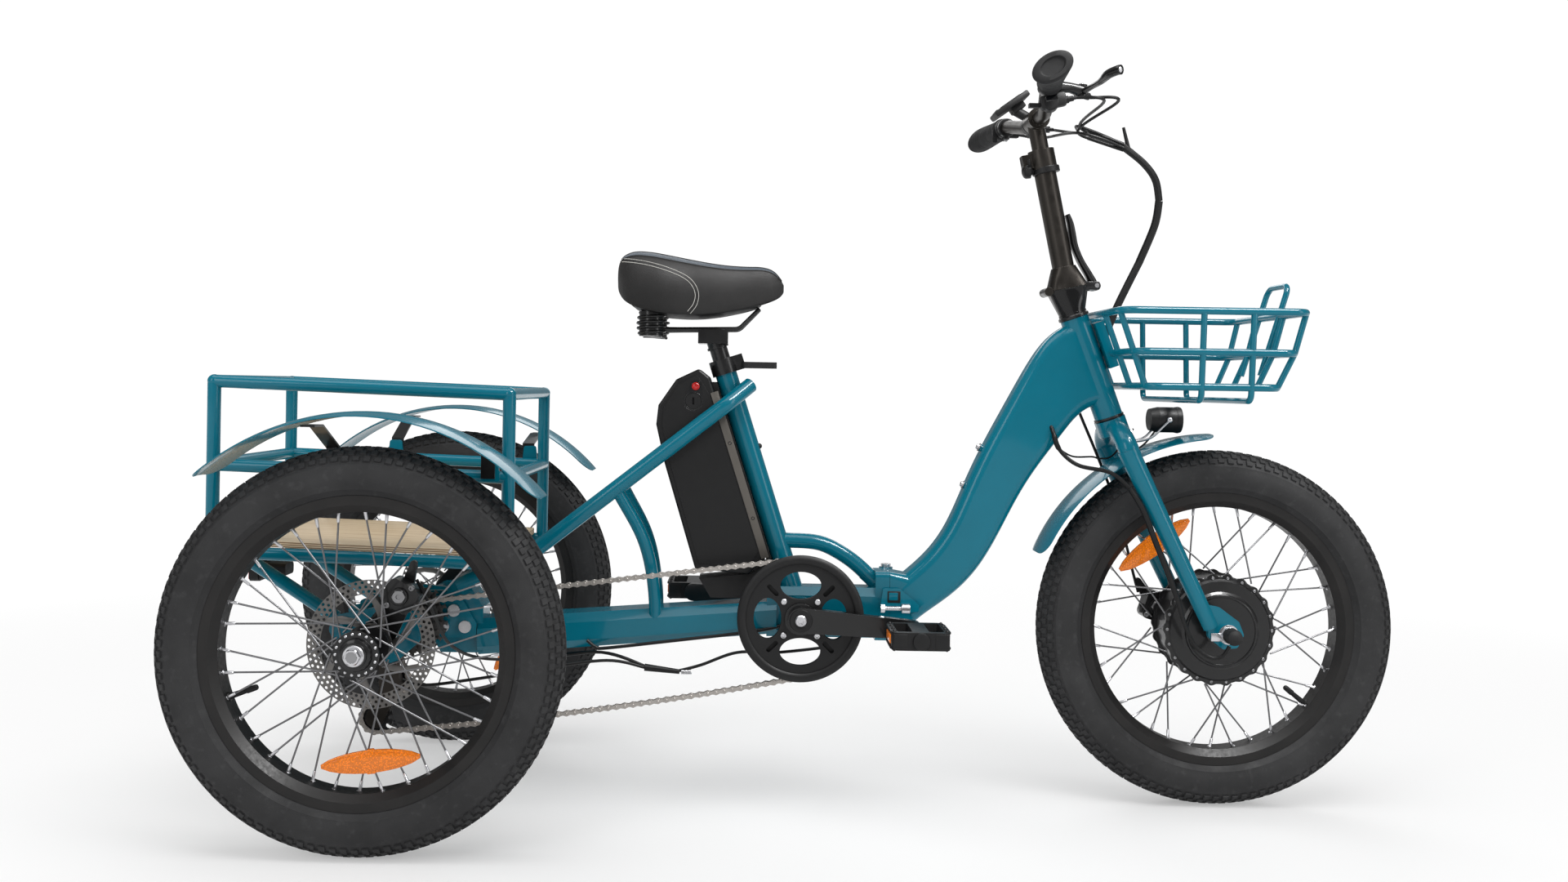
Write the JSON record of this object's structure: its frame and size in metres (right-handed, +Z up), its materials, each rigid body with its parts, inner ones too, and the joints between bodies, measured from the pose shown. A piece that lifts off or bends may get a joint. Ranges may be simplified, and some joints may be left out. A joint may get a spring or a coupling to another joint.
{
  "type": "adult electric folding tricycle",
  "caption": "Step-through folding electric tricycle with fat tyres, front hub motor, front wire basket, rear tube cargo rack with a wooden deck, padded saddle and swept handlebar.",
  "frame": {"origin": "on the ground in the centre plane, midway between the front and rear axles", "axes": "+X forward, +Y to the rider's left, +Z up"},
  "size_m": [1.8048, 0.708, 1.1102],
  "materials": {
    "teal_paint": "gloss teal powder coat",
    "black_paint": "satin black",
    "dark_alloy": "dark satin anodised",
    "black_plastic": "moulded, fine grain",
    "battery_shell": "satin black shell",
    "tyre_rubber": "black knobbly rubber",
    "rim_alloy": "black anodised rim, steel spokes",
    "grip_rubber": "matte",
    "steel": "brushed",
    "chain_steel": "oiled",
    "bright_bolts": "polished",
    "plywood": "clear lacquered birch",
    "saddle_cover": "black vinyl with pale stitching",
    "lamp_red": "translucent red",
    "lamp_shell": "black shell with clear lens",
    "button_red": "red"
  },
  "bodies": {
    "frame": {"rear_frame": "teal_paint", "axle_carrier": "teal_paint", "bearings": "steel", "bolts": "bright_bolts", "seat_collar": "black_paint", "cargo_rack": "teal_paint", "cargo_deck": "plywood", "rear_fenders": "teal_paint", "fender_straps": "black_paint", "tail_light": "lamp_red", "derailleur": "dark_alloy", "chain": "chain_steel", "rear_calipers": "black_paint", "battery_rail": "black_plastic"},
    "right_wheel": {"right_tyre": "tyre_rubber", "right_laced_rim": "rim_alloy", "right_hub": "black_paint", "right_rotor": "steel", "rear_axle": "steel"},
    "left_wheel": {"left_tyre": "tyre_rubber", "left_laced_rim": "rim_alloy", "left_hub": "black_paint", "left_rotor": "steel"},
    "freewheel": {"cassette": "chain_steel"},
    "crank": {"crankset": "black_paint", "chainring": "black_plastic"},
    "right_pedal": {"right_pedal": "black_plastic"},
    "left_pedal": {"left_pedal": "black_plastic"},
    "guide_pulley": {"guide_pulley": "black_plastic"},
    "tension_pulley": {"tension_pulley": "black_plastic"},
    "seat": {"seat_post": "black_paint", "saddle": "saddle_cover", "saddle_mount": "black_paint"},
    "seat_lever": {"seat_lever": "black_plastic"},
    "battery": {"battery_pack": "battery_shell"},
    "battery_button": {"battery_button": "button_red"},
    "battery_key": {"battery_key": "steel"},
    "frame_latch": {"frame_latch": "black_paint"},
    "rear_brake_arms": {"rear_brake_arms": "black_paint"},
    "front_half": {"front_frame": "teal_paint", "front_basket": "teal_paint"},
    "steering": {"fork": "teal_paint", "front_axle": "steel", "front_fender": "teal_paint", "headlight": "lamp_shell", "front_caliper": "black_paint"},
    "front_wheel": {"front_tyre": "tyre_rubber", "front_laced_rim": "rim_alloy", "front_rotor": "steel", "front_hub_motor": "black_paint"},
    "front_brake_arm": {"front_brake_arm": "black_paint"},
    "stem": {"handlepost": "dark_alloy"},
    "stem_lever": {"stem_lever": "black_paint"},
    "bars": {"handlebar": "dark_alloy", "grips": "grip_rubber", "bar_controls": "black_plastic"},
    "right_brake_lever": {"right_brake_lever": "black_paint"},
    "left_brake_lever": {"left_brake_lever": "black_paint"},
    "throttle_lever": {"throttle_lever": "black_plastic"},
    "shifter_lever": {"shifter_lever": "black_plastic"}
  },
  "joints": [
    {"name": "right_wheel_spin", "type": "hinge", "parent": "frame", "child": "right_wheel", "pos_m": [-0.626, 0, 0.2765], "axis": [0, 1, 0], "continuous": true},
    {"name": "left_wheel_spin", "type": "hinge", "parent": "frame", "child": "left_wheel", "pos_m": [-0.626, 0, 0.2765], "axis": [0, 1, 0], "continuous": true},
    {"name": "crank_spin", "type": "hinge", "parent": "frame", "child": "crank", "pos_m": [-0.0247, 0, 0.2917], "axis": [0, -1, 0], "continuous": true},
    {"name": "freewheel_spin", "type": "hinge", "parent": "frame", "child": "freewheel", "pos_m": [-0.626, 0, 0.2765], "axis": [0, -1, 0], "continuous": true},
    {"name": "guide_pulley_spin", "type": "hinge", "parent": "frame", "child": "guide_pulley", "pos_m": [-0.64, -0.074, 0.188], "axis": [0, -1, 0], "continuous": true},
    {"name": "tension_pulley_spin", "type": "hinge", "parent": "frame", "child": "tension_pulley", "pos_m": [-0.666, -0.074, 0.1307], "axis": [0, -1, 0], "continuous": true},
    {"name": "right_pedal_spin", "type": "hinge", "parent": "crank", "child": "right_pedal", "pos_m": [0.14489, -0.15, 0.27984], "axis": [0, 1, 0], "continuous": true},
    {"name": "left_pedal_spin", "type": "hinge", "parent": "crank", "child": "left_pedal", "pos_m": [-0.19429, 0.15, 0.30356], "axis": [0, 1, 0], "continuous": true},
    {"name": "seat_height", "type": "slide", "parent": "frame", "child": "seat", "axis": [-0.309, 0, 0.9511], "range_m": [-0.012, 0.12]},
    {"name": "seat_clamp_open", "type": "hinge", "parent": "frame", "child": "seat_lever", "pos_m": [-0.11231, -0.019, 0.67512], "axis": [0, 0, -1], "range_deg": [0, 110]},
    {"name": "battery_slide", "type": "slide", "parent": "frame", "child": "battery", "axis": [-0.309, 0, 0.9511], "range_m": [0, 0.025]},
    {"name": "battery_button_press", "type": "slide", "parent": "battery", "child": "battery_button", "axis": [0, 1, 0], "range_m": [0, 0.0015]},
    {"name": "battery_key_turn", "type": "hinge", "parent": "battery", "child": "battery_key", "pos_m": [-0.194, -0.03, 0.618], "axis": [0, 1, 0], "range_deg": [0, 90]},
    {"name": "frame_latch_open", "type": "hinge", "parent": "frame", "child": "frame_latch", "pos_m": [0.099, -0.0303, 0.315], "axis": [0, 0, -1], "range_deg": [0, 60]},
    {"name": "rear_brake_pull", "type": "hinge", "parent": "frame", "child": "rear_brake_arms", "pos_m": [-0.585, 0, 0.345], "axis": [0, 1, 0], "range_deg": [0, 25]},
    {"name": "frame_fold", "type": "hinge", "parent": "frame", "child": "front_half", "pos_m": [0.115, 0.036, 0.3], "axis": [0, 0, -1], "range_deg": [-130, 0]},
    {"name": "steer", "type": "hinge", "parent": "front_half", "child": "steering", "pos_m": [0.401, 0, 0.7576], "axis": [-0.3453, 0, 0.9385], "range_deg": [-45, 45]},
    {"name": "front_wheel_spin", "type": "hinge", "parent": "steering", "child": "front_wheel", "pos_m": [0.626, 0, 0.2765], "axis": [0, 1, 0], "continuous": true},
    {"name": "front_brake_pull", "type": "hinge", "parent": "steering", "child": "front_brake_arm", "pos_m": [0.55, 0.07, 0.3], "axis": [0, 1, 0], "range_deg": [0, 25]},
    {"name": "stem_fold", "type": "hinge", "parent": "steering", "child": "stem", "pos_m": [0.357, 0, 0.797], "axis": [0, -1, 0], "range_deg": [0, 95]},
    {"name": "stem_latch_open", "type": "hinge", "parent": "stem", "child": "stem_lever", "pos_m": [0.432, 0, 0.808], "axis": [0, 1, 0], "range_deg": [0, 85]},
    {"name": "bar_height", "type": "slide", "parent": "stem", "child": "bars", "axis": [-0.2045, 0, 0.9789], "range_m": [-0.012, 0.08]},
    {"name": "right_brake_squeeze", "type": "hinge", "parent": "bars", "child": "right_brake_lever", "pos_m": [0.37032, -0.152, 1.08124], "axis": [0, 0, -1], "range_deg": [0, 20]},
    {"name": "left_brake_squeeze", "type": "hinge", "parent": "bars", "child": "left_brake_lever", "pos_m": [0.37032, 0.152, 1.08124], "axis": [0, 0, 1], "range_deg": [0, 20]},
    {"name": "throttle_push", "type": "hinge", "parent": "bars", "child": "throttle_lever", "pos_m": [0.31815, 0.175, 1.08602], "axis": [-0.113, 0.9928, 0.0404], "range_deg": [0, 30]},
    {"name": "shifter_push", "type": "hinge", "parent": "bars", "child": "shifter_lever", "pos_m": [0.30684, -0.167, 1.05577], "axis": [0, 0, 1], "range_deg": [0, 22]}
  ],
  "couplings": [
    {"joint": "freewheel_spin", "follows": "crank_spin", "ratio": 3.3846},
    {"joint": "guide_pulley_spin", "follows": "crank_spin", "ratio": -4},
    {"joint": "tension_pulley_spin", "follows": "crank_spin", "ratio": 4},
    {"joint": "rear_brake_pull", "follows": "right_brake_squeeze", "ratio": 1.2},
    {"joint": "front_brake_pull", "follows": "left_brake_squeeze", "ratio": 1.2}
  ]
}
